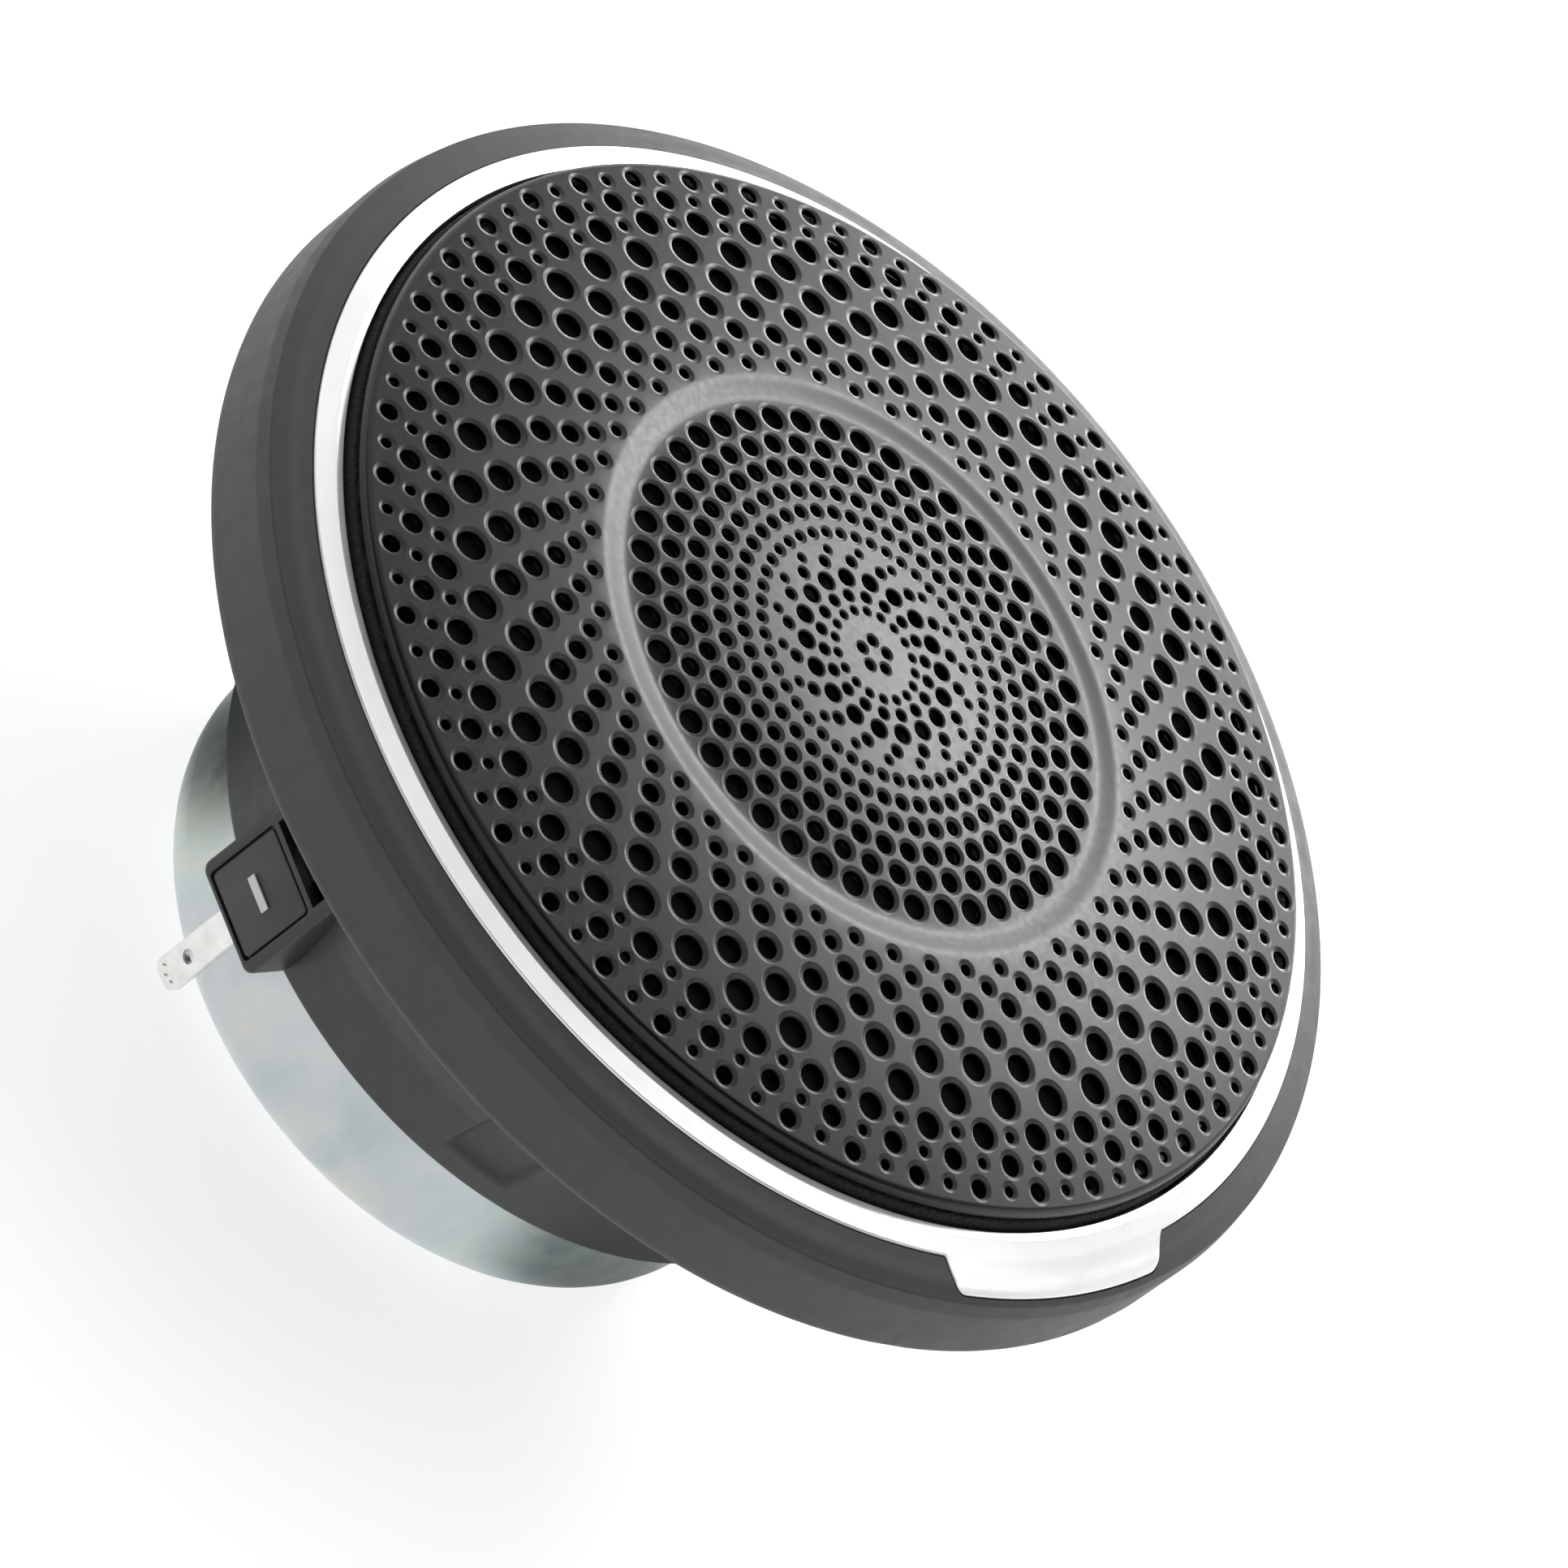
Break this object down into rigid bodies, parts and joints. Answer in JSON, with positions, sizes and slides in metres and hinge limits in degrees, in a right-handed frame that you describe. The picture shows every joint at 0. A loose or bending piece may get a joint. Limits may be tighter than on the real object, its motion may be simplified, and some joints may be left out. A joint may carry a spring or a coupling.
{
  "type": "car speaker driver",
  "caption": "Round car speaker driver with a domed perforated snap-in grille, bright trim ring, bowl basket, zinc-plated pot motor and two blade terminals",
  "frame": {"origin": "Centre of the motor cup's flat back face, which the part stands on", "axes": "+Z is the speaker's axis towards the listener, the nameplate faces -Y, the negative terminal faces -X and the positive terminal +X"},
  "size_m": [0.1044, 0.1044, 0.0555],
  "materials": {
    "zinc_plate": "clear zinc plate, faintly iridescent",
    "steel": "machined",
    "ferrite": "matte black",
    "copper": "bright",
    "basket_plastic": "smooth matte charcoal",
    "spider_cloth": "impregnated cotton",
    "former_film": "brown film",
    "cone_pulp": "black pulp",
    "surround_rubber": "matte rubber",
    "black_plastic": "satin black",
    "textured_plastic": "spark-eroded black",
    "mark_paint": "printed light grey",
    "tab_metal": "tin-plated brass",
    "solder_brass": "bright",
    "foam": "open black foam",
    "soft_touch": "soft-touch charcoal",
    "screw_steel": "black zinc",
    "satin_chrome": "satin bright",
    "grille_paint": "satin black powder coat",
    "grille_cloth": "fine black mesh"
  },
  "bodies": {
    "driver": {"motor_cup": "zinc_plate", "yoke": "steel", "magnet_ring": "ferrite", "top_plate": "steel", "pole_cap": "copper", "basket": "basket_plastic", "flange_ring": "basket_plastic", "spider": "spider_cloth", "surround": "surround_rubber", "surround_clamp": "black_plastic", "terminal_housing_neg": "black_plastic", "terminal_plate_neg": "textured_plastic", "polarity_mark_neg": "mark_paint", "terminal_tab_neg": "tab_metal", "solder_neg": "solder_brass", "tinsel_lead_neg": "copper", "terminal_housing_pos": "black_plastic", "terminal_plate_pos": "textured_plastic", "polarity_mark_pos": "mark_paint", "terminal_tab_pos": "tab_metal", "solder_pos": "solder_brass", "tinsel_lead_pos": "copper", "mounting_gasket": "foam", "tray_ring": "soft_touch", "tray_screw_1": "screw_steel", "tray_screw_2": "screw_steel", "tray_screw_3": "screw_steel", "tray_screw_4": "screw_steel"},
    "moving_cone": {"cone": "cone_pulp", "dust_cap": "cone_pulp", "voice_coil_former": "former_film", "voice_coil": "copper"},
    "grille_unit": {"trim_ring": "satin_chrome", "foam_ring": "foam", "grille": "grille_paint", "grille_cloth": "grille_cloth", "cloth_retainer": "black_plastic"}
  },
  "joints": [
    {"name": "cone_travel", "type": "slide", "parent": "driver", "child": "moving_cone", "axis": [0, 0, 1], "range_m": [-0.0025, 0.0025], "stiffness_N_per_m": 1500, "deforming": ["surround", "spider", "tinsel_lead_neg", "tinsel_lead_pos"]},
    {"name": "grille_lift", "type": "slide", "parent": "driver", "child": "grille_unit", "axis": [0, 0, 1], "range_m": [0, 0.025]}
  ]
}
